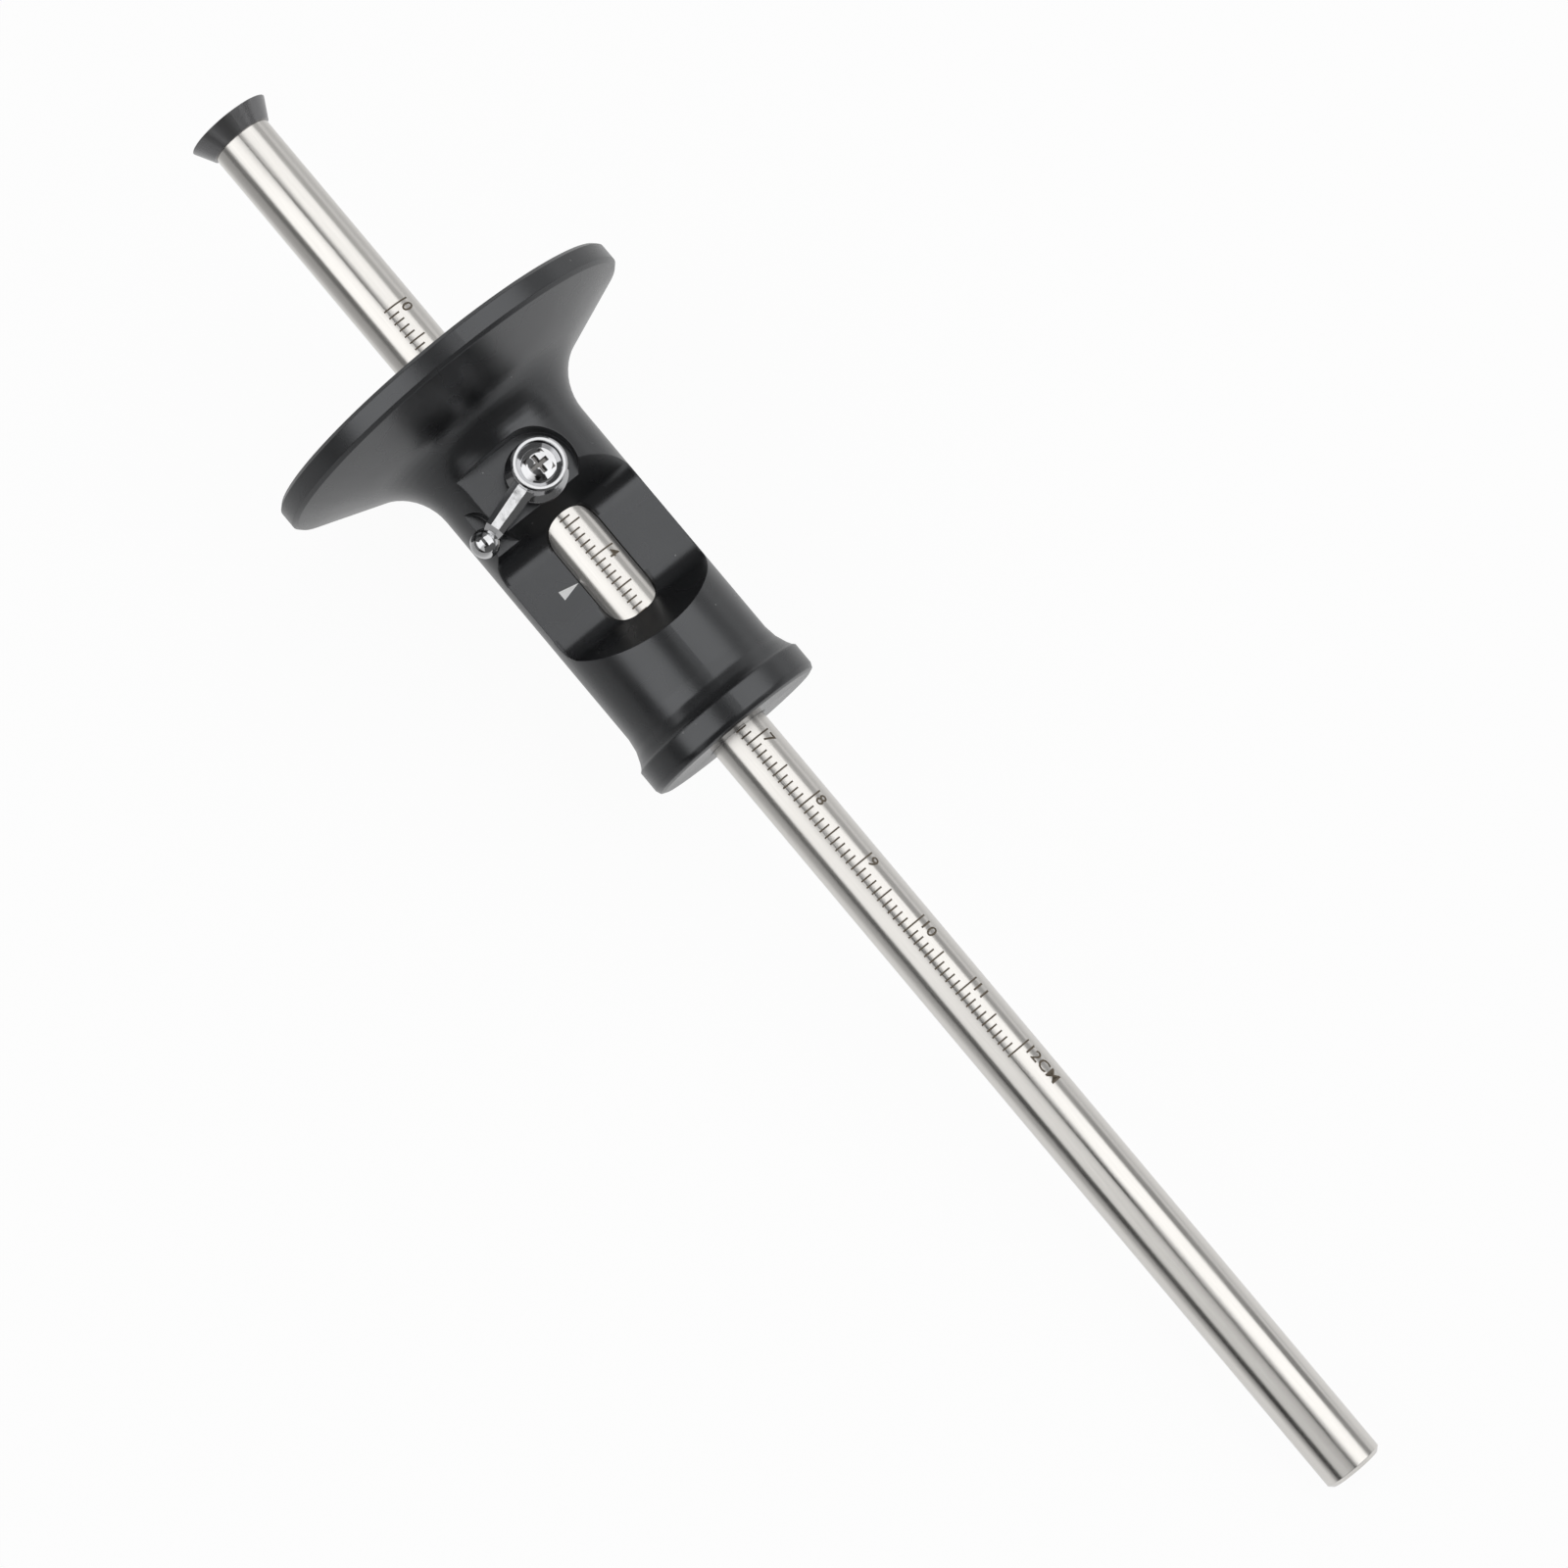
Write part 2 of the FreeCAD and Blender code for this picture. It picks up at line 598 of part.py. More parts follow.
def build_lever_handle():
    """The lever: waisted hub, sloping faceted arm along its own X, round knob at the end."""
    body = new_lever_body("lever_handle")
    sketch = new_sketch(body, "hub_profile", "XZ_Plane")
    foot_top = "sizes.hub_bottom + sizes.hub_foot_height"
    draw_outline(sketch, [
        ("0", "sizes.hub_bottom"),
        ("sizes.hub_foot_radius", "sizes.hub_bottom"),
        ("sizes.hub_foot_radius", foot_top),
        ("sizes.hub_foot_radius - sizes.hub_waist_inset", f"{foot_top} + sizes.hub_waist_inset"),
        ("sizes.hub_top_radius", "sizes.hub_top - sizes.hub_chamfer"),
        ("sizes.hub_top_radius - sizes.hub_chamfer", "sizes.hub_top"),
        ("0", "sizes.hub_top"),
    ])
    revolve(body, sketch, "hub", "V_Axis")

    root = new_sketch(body, "arm_root_section", "YZ_Plane", [("z", "sizes.arm_root")])
    draw_arm_section(root, "sizes.arm_root_width", "sizes.arm_root_height", "sizes.arm_root_middle")
    tip = new_sketch(body, "arm_tip_section", "YZ_Plane", [("z", "sizes.arm_tip")])
    draw_arm_section(tip, "sizes.arm_tip_width", "sizes.arm_tip_height", "sizes.arm_tip_middle")
    neck = new_sketch(
        body, "knob_neck_section", "YZ_Plane", [("z", "sizes.knob_reach - sizes.knob_neck_setback")]
    )
    draw_arm_section(neck, "sizes.knob_neck_size", "sizes.knob_neck_size", "sizes.knob_middle")
    arm = body.newObject("PartDesign::AdditiveLoft", "arm")
    arm.Profile = root
    arm.Sections = [tip, neck]
    arm.Ruled = True

    knob = body.newObject("PartDesign::AdditiveSphere", "knob")
    knob.setExpression("Radius", "sizes.knob_radius")
    knob.AttachmentSupport = [(origin_item(body, "XY_Plane"), "")]
    knob.MapMode = "FlatFace"
    knob.setExpression("AttachmentOffset.Base.x", "sizes.knob_reach")
    knob.setExpression("AttachmentOffset.Base.z", "sizes.knob_middle")

    head = new_sketch(body, "head_pocket_outline", "XY_Plane", [("z", "sizes.hub_top")])
    draw_circle(head, "0", "0", "sizes.lever_screw_head_radius + sizes.head_side_clearance")
    pocket_down(body, head, "head_pocket", "sizes.head_pocket_depth")

    socket = new_sketch(body, "socket_outline", "XY_Plane", [("z", "sizes.hub_top")])
    draw_circle(socket, "0", "0", "sizes.spline_root_radius + sizes.spline_clearance")
    pocket_down(body, socket, "socket", "sizes.hub_top - sizes.hub_bottom")

    relief = new_sketch(body, "thread_relief_outline", "XY_Plane", [("z", "sizes.hub_bottom")])
    draw_circle(relief, "0", "0", "sizes.stud_radius + sizes.spline_clearance")
    pocket_up(body, relief, "thread_relief", "sizes.stud_thread_top - sizes.hub_bottom")

    tooth = new_sketch(body, "socket_tooth_outline", "XY_Plane", [("z", "sizes.stud_thread_top")])
    draw_spline_tooth(tooth, "sizes.spline_clearance")
    notch = pocket_up(
        body, tooth, "socket_tooth",
        "sizes.hub_top - sizes.head_pocket_depth - sizes.stud_thread_top",
    )
    repeat_round(body, notch, "socket_spline", "sizes.spline_teeth")
    return body


def build_lever_screw():
    """Screw with a domed head and a cross recess, sunk in the top of the hub."""
    body = new_body("lever_screw", HUB_AXIS)
    seat = "(sizes.hub_top - sizes.head_pocket_depth)"
    top = f"({seat} + sizes.lever_screw_head_height)"
    sketch = new_sketch(body, "head_profile", "XZ_Plane")
    corners = [
        ("0", "sizes.lever_screw_bottom"),
        ("sizes.lever_screw_radius", "sizes.lever_screw_bottom"),
        ("sizes.lever_screw_radius", seat),
        ("sizes.lever_screw_head_radius", seat),
    ]
    for step in range(SIZES["dome_steps"], -1, -1):
        reach = f"(sizes.lever_screw_head_radius * {step} / sizes.dome_steps)"
        drop = f"(sizes.dome_radius - sqrt(sizes.dome_radius ^ 2 - {reach} ^ 2))"
        corners.append((reach, f"{top} - {drop}"))
    draw_outline(sketch, corners)
    revolve(body, sketch, "domed_head", "V_Axis")
    arm = new_sketch(body, "cross_arm", "XY_Plane", [("z", top)])
    draw_outline(arm, [
        ("-sizes.cross_width / 2", "-sizes.cross_width / 2"),
        ("sizes.cross_length", "-sizes.cross_width / 2"),
        ("sizes.cross_length", "sizes.cross_width / 2"),
        ("-sizes.cross_width / 2", "sizes.cross_width / 2"),
    ])
    cut = pocket_down(body, arm, "cross_arm_cut", "sizes.cross_depth")
    repeat_round(body, cut, "cross_recess", "sizes.cross_arms")
    return body


pieces = [
    build_fence_body(),
    build_rod(),
    build_cutter_wheel(),
    build_wheel_screw(),
    build_friction_ring(),
    build_clamp_pad(),
    build_clamp_stud(),
    build_lever_handle(),
    build_lever_screw(),
]

doc.recompute()
for item in doc.Objects:
    if any(word in item.State for word in ("Invalid", "Error")):
        raise RuntimeError(f"{item.Name} did not build: {item.State}")
for piece in pieces:
    if piece.Shape.isNull() or not piece.Shape.isValid():
        raise RuntimeError(f"{piece.Label} has no valid shape")
    piece.Shape.exportStep(f"parts/{piece.Label}.step")
    print(piece.Label, round(piece.Shape.Volume, 1), piece.Shape.BoundBox)
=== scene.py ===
import math

import bmesh
import bpy
from mathutils import Matrix, Vector


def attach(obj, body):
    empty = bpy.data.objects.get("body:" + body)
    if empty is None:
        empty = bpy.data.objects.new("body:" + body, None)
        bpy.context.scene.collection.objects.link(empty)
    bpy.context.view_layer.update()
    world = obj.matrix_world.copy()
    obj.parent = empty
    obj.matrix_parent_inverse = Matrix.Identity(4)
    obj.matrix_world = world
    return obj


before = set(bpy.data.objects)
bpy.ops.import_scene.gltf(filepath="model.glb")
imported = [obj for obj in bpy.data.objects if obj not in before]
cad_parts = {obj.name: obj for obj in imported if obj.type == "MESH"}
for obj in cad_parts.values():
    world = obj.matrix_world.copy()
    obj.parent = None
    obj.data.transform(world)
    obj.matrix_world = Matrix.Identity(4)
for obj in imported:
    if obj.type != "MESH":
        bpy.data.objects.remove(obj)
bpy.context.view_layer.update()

MM = 0.001


# Sizes of the tool, in millimetres, as the solids have them

ROD_RADIUS = 4.0
WHEEL_FRONT = 41.5
SCALE_SETBACK = 31.4
SCALE_ZERO = WHEEL_FRONT - SCALE_SETBACK
CENTIMETRE = 10
SCALE_CENTIMETRES = 12
SCALE_LENGTH = SCALE_CENTIMETRES * CENTIMETRE
WINDOW_CENTRE = -31.0
BORE_RADIUS = 4.06
FLAT_HEIGHT = 1.9
WINDOW_HALF_WIDTH = math.sqrt(BORE_RADIUS**2 - FLAT_HEIGHT**2)
FENCE_RADIUS = 26.0
TAIL_END = -175.9
HUB_X = -17.8
# Top and half-width of the box about the lever screw's axis that the chrome's painted shade of the cross
# recess fills
RECESS_TOP = 12.85
RECESS_REACH = 1.45


# Camera at the photograph's viewing angle

LENS = 123.75
SENSOR = 36.0
CLIP_START = 0.01
CLIP_END = 10.0
AIM = Vector((-66.3, -0.25, 0.0)) * MM
DISTANCE = 667.5 * MM
TAIL_LEAN = math.radians(3.07)
SIDE_LEAN = math.radians(11.0)
ROD_ANGLE_IN_IMAGE = math.radians(129.98)


def add_camera():
    """Looks down on the tool; the rod runs from the lower right of the image to the upper left."""
    toward = Vector((
        -math.sin(TAIL_LEAN),
        math.cos(TAIL_LEAN) * math.sin(SIDE_LEAN),
        math.cos(TAIL_LEAN) * math.cos(SIDE_LEAN),
    ))
    along_rod = (Vector((1, 0, 0)) - toward * toward.x).normalized()
    across_rod = toward.cross(along_rod)
    right = along_rod * math.cos(ROD_ANGLE_IN_IMAGE) - across_rod * math.sin(ROD_ANGLE_IN_IMAGE)
    up = along_rod * math.sin(ROD_ANGLE_IN_IMAGE) + across_rod * math.cos(ROD_ANGLE_IN_IMAGE)
    data = bpy.data.cameras.new("camera")
    data.lens = LENS
    data.sensor_width = SENSOR
    data.clip_start = CLIP_START
    data.clip_end = CLIP_END
    camera = bpy.data.objects.new("camera", data)
    bpy.context.scene.collection.objects.link(camera)
    turn = Matrix((right, up, toward)).transposed().to_4x4()
    camera.matrix_world = Matrix.Translation(AIM + toward * DISTANCE) @ turn
    bpy.context.scene.camera = camera


# Building blocks of the materials

def new_material(name):
    """A node material with only its Principled shader and output; returns it, its tree and shader."""
    material = bpy.data.materials.new(name)
    material.use_nodes = True
    tree = material.node_tree
    shader = next(node for node in tree.nodes if node.type == "BSDF_PRINCIPLED")
    return material, tree, shader


def node(tree, kind, **settings):
    """Adds a node; settings that name an input set it, and the others are attributes."""
    made = tree.nodes.new(kind)
    for key, value in settings.items():
        if key in made.inputs:
            made.inputs[key].default_value = value
        else:
            setattr(made, key, value)
    return made


def feed(tree, term, socket):
    """Gives an input another node's output, a number, or a colour of three parts."""
    if isinstance(term, bpy.types.NodeSocket):
        tree.links.new(term, socket)
    elif socket.type == "RGBA":
        socket.default_value = (*term, 1)
    else:
        socket.default_value = term


def calculate(tree, operation, *terms):
    """The result of a maths node, whose terms are outputs or numbers."""
    made = node(tree, "ShaderNodeMath", operation=operation)
    for term, socket in zip(terms, made.inputs):
        feed(tree, term, socket)
    return made.outputs[0]


def between(tree, value, low, high):
    """1 where the value lies between two numbers, else 0."""
    above = calculate(tree, "GREATER_THAN", value, low)
    below = calculate(tree, "LESS_THAN", value, high)
    return calculate(tree, "MULTIPLY", above, below)


def map_range(tree, value, old, new=(0.0, 1.0), interpolation="LINEAR"):
    """Maps the old range of a value to the new one and holds it at both ends."""
    made = node(tree, "ShaderNodeMapRange", interpolation_type=interpolation)
    tree.links.new(value, made.inputs["Value"])
    made.inputs["From Min"].default_value, made.inputs["From Max"].default_value = old
    made.inputs["To Min"].default_value, made.inputs["To Max"].default_value = new
    return made.outputs["Result"]


def axes(tree, vector):
    """The outputs X, Y and Z of a vector."""
    split = node(tree, "ShaderNodeSeparateXYZ")
    tree.links.new(vector, split.inputs[0])
    return split.outputs


def object_place(tree, stretch=(1, 1, 1)):
    """Object coordinates in millimetres, scaled by stretch along each axis."""
    place = node(tree, "ShaderNodeTexCoord")
    scale = node(tree, "ShaderNodeMapping")
    scale.inputs["Scale"].default_value = [factor / MM for factor in stretch]
    tree.links.new(place.outputs["Object"], scale.inputs["Vector"])
    return scale.outputs["Vector"]


def noise(tree, vector, size, detail=3.0, roughness=0.55):
    """Noise whose grain is about size millimetres."""
    made = node(tree, "ShaderNodeTexNoise", Scale=1.0 / size, Detail=detail, Roughness=roughness)
    tree.links.new(vector, made.inputs["Vector"])
    return made.outputs["Fac"]


def ramp(tree, value, stops):
    """Maps a value through (position, grey) stops."""
    made = tree.nodes.new("ShaderNodeValToRGB")
    elements = made.color_ramp.elements
    while len(elements) < len(stops):
        elements.new(0.5)
    for element, (position, grey) in zip(elements, stops):
        element.position = position
        element.color = (grey, grey, grey, 1)
    tree.links.new(value, made.inputs["Fac"])
    return made.outputs["Color"]


def mix_colour(tree, factor, first, second):
    """Blends two colours, given as outputs or as three parts, by a factor."""
    made = node(tree, "ShaderNodeMix", data_type="RGBA")
    tree.links.new(factor, made.inputs["Factor"])
    feed(tree, first, made.inputs["A"])
    feed(tree, second, made.inputs["B"])
    return made.outputs["Result"]


EDGE_SAMPLES = 6


def rounded(tree, radius, samples=EDGE_SAMPLES):
    """Normals that blend round the edges, within a radius in metres."""
    bevel = node(tree, "ShaderNodeBevel")
    bevel.samples = samples
    feed(tree, radius, bevel.inputs["Radius"])
    return bevel.outputs["Normal"]


def bump(tree, height, strength, depth, normal=None):
    """Normals for a relief of depth millimetres, on top of other normals where they are given."""
    made = node(tree, "ShaderNodeBump", Strength=strength, Distance=depth * MM)
    tree.links.new(height, made.inputs["Height"])
    if normal:
        tree.links.new(normal, made.inputs["Normal"])
    return made.outputs["Normal"]


# Finish of the body. The zones are stretches along X where its outline is stepped or turns sharply,
# each with its lower end, its upper end and the radius that the shading is rounded by.

BODY_SAMPLES = 8
EDGE_ROUNDING = 0.14
SOFT_ZONES = (
    (-12.2, -6.2, 0.9),
    (-26.0, -23.4, 0.7),
    (-37.5, -34.9, 0.7),
    (-54.6, -49.4, 0.7),
    (-58.0, -56.4, 0.45),
)


def body_rounding(tree):
    """Normals rounded a little at all of the body's edges, and more inside the soft zones."""
    along = axes(tree, object_place(tree))["X"]
    radius = EDGE_ROUNDING * MM
    for low, high, rounding in SOFT_ZONES:
        inside = between(tree, along, low, high)
        radius = calculate(tree, "MULTIPLY_ADD", inside, (rounding - EDGE_ROUNDING) * MM, radius)
    return rounded(tree, radius, BODY_SAMPLES)


def black_anodised():
    """Fine blasted aluminium, anodised black, smooth enough to mirror the studio softly."""
    material, tree, shader = new_material("black_anodised")
    place = object_place(tree)
    cloud = noise(tree, place, size=9.0, detail=2.0)
    grain = noise(tree, place, size=0.22, detail=2.0)
    specks = node(tree, "ShaderNodeTexVoronoi", Scale=0.35)
    tree.links.new(place, specks.inputs["Vector"])
    speck = ramp(tree, specks.outputs["Distance"], [(0.03, 1.0), (0.045, 0.0)])
    colour = mix_colour(tree, speck, (0.004, 0.0042, 0.0047), (0.16, 0.16, 0.16))
    tree.links.new(colour, shader.inputs["Base Color"])
    tree.links.new(ramp(tree, cloud, [(0.3, 0.24), (0.7, 0.31)]), shader.inputs["Roughness"])
    shader.inputs["Specular IOR Level"].default_value = 1.15
    shader.inputs["Specular Tint"].default_value = (0.95, 0.97, 1.0, 1.0)
    surface = bump(tree, grain, strength=0.3, depth=0.02, normal=body_rounding(tree))
    tree.links.new(surface, shader.inputs["Normal"])
    return material


# Finishes of the other pieces

def ground_steel(name, dark, light, smooth, rough, streak=(1, 1, 1)):
    """Steel with fine grinding lines; streak stretches the lines along each axis."""
    material, tree, shader = new_material(name)
    lines = noise(tree, object_place(tree, streak), size=0.12, roughness=0.6)
    cloud = noise(tree, object_place(tree, (0.3, 1, 1)), size=6.0, detail=2.0)
    tree.links.new(mix_colour(tree, lines, dark, light), shader.inputs["Base Color"])
    shader.inputs["Metallic"].default_value = 1.0
    wear = calculate(tree, "MULTIPLY_ADD", lines, 0.5, cloud)
    tree.links.new(ramp(tree, wear, [(0.4, smooth), (1.0, rough)]), shader.inputs["Roughness"])
    surface = bump(tree, lines, strength=0.2, depth=0.01, normal=rounded(tree, 0.08 * MM))
    tree.links.new(surface, shader.inputs["Normal"])
    return material


def recess_dirt(tree, place):
    """1 inside the lever screw's cross recess, where the chrome's colour is darkened as painted shade,
    else 0.
    """
    parts = axes(tree, place)
    inside = between(tree, parts["Z"], 0.0, RECESS_TOP)
    for axis, middle in (("X", HUB_X), ("Y", 0.0)):
        near = between(tree, parts[axis], middle - RECESS_REACH, middle + RECESS_REACH)
        inside = calculate(tree, "MULTIPLY", inside, near)
    return inside


def chrome():
    """Polished plating with a little waviness, as on a small casting, and painted shade darkening the
    cross recess.
    """
    material, tree, shader = new_material("lever_chrome")
    place = object_place(tree)
    tint = mix_colour(tree, noise(tree, place, size=0.5), (0.62, 0.625, 0.635), (0.7, 0.7, 0.71))
    # Painted shade: inside the cross recess the plating's colour is mixed toward dark grey.
    colour = mix_colour(tree, recess_dirt(tree, place), tint, (0.15, 0.145, 0.14))
    tree.links.new(colour, shader.inputs["Base Color"])
    shader.inputs["Metallic"].default_value = 1.0
    grain = noise(tree, place, size=0.3)
    tree.links.new(ramp(tree, grain, [(0.3, 0.05), (0.8, 0.12)]), shader.inputs["Roughness"])
    waves = noise(tree, place, size=1.6, detail=1.0)
    surface = bump(tree, waves, strength=0.3, depth=0.05, normal=rounded(tree, 0.12 * MM))
    tree.links.new(surface, shader.inputs["Normal"])
    return material


def plain_stock(name, dark, light, smooth, rough, metallic=0.0):
    """Brass, rubber, ink or paint with slight variation of colour and roughness."""
    material, tree, shader = new_material(name)
    spots = noise(tree, object_place(tree), size=0.4)
    tree.links.new(mix_colour(tree, spots, dark, light), shader.inputs["Base Color"])
    shader.inputs["Metallic"].default_value = metallic
    tree.links.new(ramp(tree, spots, [(0.3, smooth), (0.7, rough)]), shader.inputs["Roughness"])
    tree.links.new(bump(tree, spots, strength=0.15, depth=0.01), shader.inputs["Normal"])
    return material


def rod_steel():
    """Bright steel, ground lengthwise."""
    dark, light = (0.66, 0.64, 0.61), (0.8, 0.78, 0.75)
    return ground_steel("stainless_rod", dark, light, smooth=0.13, rough=0.26, streak=(0.02, 1, 1))


def wheel_steel():
    """Darker, hardened steel."""
    return ground_steel("hardened_wheel", (0.2, 0.2, 0.205), (0.3, 0.3, 0.305), smooth=0.2, rough=0.34)


def screw_steel():
    """Plain, duller steel."""
    return ground_steel("screw_steel", (0.3, 0.3, 0.3), (0.42, 0.42, 0.42), smooth=0.3, rough=0.45)


def rubber():
    return plain_stock("ring_rubber", (0.015,) * 3, (0.025,) * 3, smooth=0.6, rough=0.75)


def brass():
    dark, light = (0.6, 0.42, 0.16), (0.7, 0.5, 0.2)
    return plain_stock("pad_brass", dark, light, smooth=0.25, rough=0.4, metallic=1.0)


def etched_ink():
    """The brown-black of the etched lines and numbers."""
    return plain_stock("etched_line", (0.1, 0.08, 0.055), (0.18, 0.145, 0.105), smooth=0.5, rough=0.65)


def white_paint():
    return plain_stock("index_paint", (0.82,) * 3, (0.88,) * 3, smooth=0.4, rough=0.5)


def dress_nodes():
    """Gives every CAD node its finish."""
    steel = rod_steel()
    wheel = wheel_steel()
    screw = screw_steel()
    plating = chrome()
    finishes = {
        "fence_body": black_anodised(),
        "rod": steel,
        "cutter_wheel": wheel,
        "wheel_screw": screw,
        "clamp_stud": screw,
        "rod_friction_ring": rubber(),
        "clamp_pad": brass(),
        "lever_handle": plating,
        "lever_screw": plating,
    }
    for name, material in finishes.items():
        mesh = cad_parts[name].data
        mesh.materials.clear()
        mesh.materials.append(material)


# Engraved scale, numbers and index mark, in millimetres

INK_LIFT = 0.012
BASELINE_ANGLE = math.radians(14.0)
TICK_WIDTH = 0.22
TICK_LENGTHS = {1: 1.55, 5: 2.4, CENTIMETRE: 3.8}
NUMBER_HEIGHT = 1.6
NUMBER_START = 2.2
NUMBER_GAP = 0.45
NUMBER_SWELL = 0.02
DIGIT_SHARE_OF_FONT_SIZE = 0.69
OUTLINE_STEPS = 3
ARC_STEP = 0.25
CUT_MERGE = 1e-6


def on_rod(along, arc):
    """A point on the engraved surface: along is the X place, arc the way round from the baseline."""
    radius = ROD_RADIUS + INK_LIFT
    angle = BASELINE_ANGLE - arc / ROD_RADIUS
    return Vector((along, radius * math.sin(angle), radius * math.cos(angle))) * MM


def add_piece(name, mesh, material, body):
    """A thin piece that rides on a body and belongs to one of the material slots."""
    piece = bpy.data.objects.new(name, mesh)
    bpy.context.scene.collection.objects.link(piece)
    mesh.materials.clear()
    mesh.materials.append(material)
    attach(piece, body)


def tick_length(millimetre):
    """Longer at every fifth and tenth millimetre."""
    fitting = [step for step in TICK_LENGTHS if millimetre % step == 0]
    return TICK_LENGTHS[max(fitting)]


def add_ticks(ink):
    """One thin band per millimetre, wrapped round the rod."""
    shape = bmesh.new()
    for millimetre in range(SCALE_LENGTH + 1):
        length = tick_length(millimetre)
        steps = math.ceil(length / ARC_STEP)
        middle = SCALE_ZERO - millimetre
        rows = []
        for i in range(steps + 1):
            arc = length * i / steps
            rows.append([shape.verts.new(on_rod(middle + side * TICK_WIDTH / 2, arc)) for side in (-1, 1)])
        for low, high in zip(rows, rows[1:]):
            shape.faces.new((low[0], low[1], high[1], high[0]))
    mesh = bpy.data.meshes.new("scale_ticks")
    shape.to_mesh(mesh)
    shape.free()
    add_piece("scale_ticks", mesh, ink, "rod")


def text_mesh(words):
    """Flat mesh of a line of characters, in millimetres, with its left end at 0."""
    curve = bpy.data.curves.new("words", "FONT")
    curve.body = words
    curve.size = NUMBER_HEIGHT / DIGIT_SHARE_OF_FONT_SIZE
    curve.resolution_u = OUTLINE_STEPS
    curve.offset = NUMBER_SWELL
    holder = bpy.data.objects.new("words", curve)
    bpy.context.scene.collection.objects.link(holder)
    bpy.context.view_layer.update()
    mesh = bpy.data.meshes.new_from_object(holder)
    bpy.data.objects.remove(holder)
    return mesh


def add_numbers(ink):
    """Centimetre numbers that read toward the tail, wrapped round the rod beside the long ticks."""
    shape = bmesh.new()
    for centimetre in range(SCALE_CENTIMETRES + 1):
        words = str(centimetre)
        if centimetre == SCALE_CENTIMETRES:
            words += "CM"
        flat = bmesh.new()
        flat.from_mesh(text_mesh(words))
        cuts = math.ceil(NUMBER_HEIGHT / ARC_STEP)
        for i in range(1, cuts):
            bmesh.ops.bisect_plane(
                flat, geom=flat.verts[:] + flat.edges[:] + flat.faces[:],
                plane_co=(0, NUMBER_HEIGHT * i / cuts, 0), plane_no=(0, 1, 0), dist=CUT_MERGE,
            )
        left = SCALE_ZERO - CENTIMETRE * centimetre - NUMBER_GAP
        for vertex in flat.verts:
            vertex.co = on_rod(left - vertex.co.x, NUMBER_START + vertex.co.y)
        held = bpy.data.meshes.new("held")
        flat.to_mesh(held)
        flat.free()
        shape.from_mesh(held)
    mesh = bpy.data.meshes.new("scale_numbers")
    shape.to_mesh(mesh)
    shape.free()
    add_piece("scale_numbers", mesh, ink, "rod")


INDEX_LENGTH = 2.7
INDEX_WIDTH = 1.3
INDEX_GAP = 0.1


def add_index_mark(paint):
    """The white triangle on the flat, with its point at the middle of the window's edge."""
    tip = WINDOW_HALF_WIDTH + INDEX_GAP
    height = FLAT_HEIGHT + INK_LIFT
    corners = [
        (WINDOW_CENTRE, tip),
        (WINDOW_CENTRE + INDEX_WIDTH / 2, tip + INDEX_LENGTH),
        (WINDOW_CENTRE - INDEX_WIDTH / 2, tip + INDEX_LENGTH),
    ]
    mesh = bpy.data.meshes.new("index_mark")
    mesh.from_pydata([Vector((x, y, height)) * MM for x, y in corners], [], [(0, 1, 2)])
    add_piece("index_mark", mesh, paint, "gauge")


# Floor. The tones are (place across it, brightness in reflections), from -Y to +Y.

FLOOR_SIZE = 3.0
FLOOR_GAP = 0.3
FLOOR_GLOW_SEEN = 0.95
FLOOR_GLOW_MIRRORED = 0.6
FLOOR_TONES = [(0.0, 0.6), (0.42, 1.0), (0.59, 1.0), (0.7, 0.45), (1.0, 0.25)]
FLOOR_TONES_REACH = 100.0


def floor_material():
    """Near-white paper, partly self-lit: evenly for the camera, dimmer off the axis in reflections."""
    material, tree, shader = new_material("pale_floor")
    shader.inputs["Roughness"].default_value = 0.9
    shader.inputs["Specular IOR Level"].default_value = 0.1
    paper = mix_colour(tree, noise(tree, object_place(tree), size=40.0), (0.93,) * 3, (0.95,) * 3)
    tree.links.new(paper, shader.inputs["Base Color"])
    rays = node(tree, "ShaderNodeLightPath").outputs
    across = map_range(tree, axes(tree, object_place(tree))["Y"], (-FLOOR_TONES_REACH, FLOOR_TONES_REACH))
    tone = ramp(tree, across, FLOOR_TONES)
    strength = calculate(tree, "MULTIPLY_ADD", rays["Is Glossy Ray"], tone, rays["Is Camera Ray"])
    glow = node(tree, "ShaderNodeEmission")
    tree.links.new(strength, glow.inputs["Strength"])
    mirrored = calculate(tree, "MULTIPLY", rays["Is Glossy Ray"], FLOOR_GLOW_MIRRORED)
    share = calculate(tree, "MULTIPLY_ADD", rays["Is Camera Ray"], FLOOR_GLOW_SEEN, mirrored)
    both = node(tree, "ShaderNodeMixShader")
    tree.links.new(share, both.inputs["Fac"])
    tree.links.new(shader.outputs["BSDF"], both.inputs[1])
    tree.links.new(glow.outputs["Emission"], both.inputs[2])
    output = next(item for item in tree.nodes if item.type == "OUTPUT_MATERIAL")
    tree.links.new(both.outputs["Shader"], output.inputs["Surface"])
    return material


def rectangle(half_length, half_width):
    """The corners of a flat sheet about its own middle."""
    x, y = half_length, half_width
    return [(-x, -y, 0), (x, -y, 0), (x, y, 0), (-x, y, 0)]


def add_floor():
    """A plane just under the fence rim and the rod's tail, as the tool lies in its rest pose."""
    drop = (FENCE_RADIUS - ROD_RADIUS) * MM
    run = -TAIL_END * MM
    slope = math.atan2(drop, run)
    mesh = bpy.data.meshes.new("floor")
    mesh.from_pydata(rectangle(FLOOR_SIZE / 2, FLOOR_SIZE / 2), [], [(0, 1, 2, 3)])
    mesh.materials.append(floor_material())
    floor = bpy.data.objects.new("floor", mesh)
    floor.rotation_euler = (0, slope, 0)
    floor.location = (TAIL_END * MM, 0, -(ROD_RADIUS + FLOOR_GAP) * MM)
    bpy.context.scene.collection.objects.link(floor)


# Studio light: a pale world, two long soft boxes and dark cards, in millimetres

WORLD_LIGHT = 0.5
WORLD_MIRRORED = 0.75


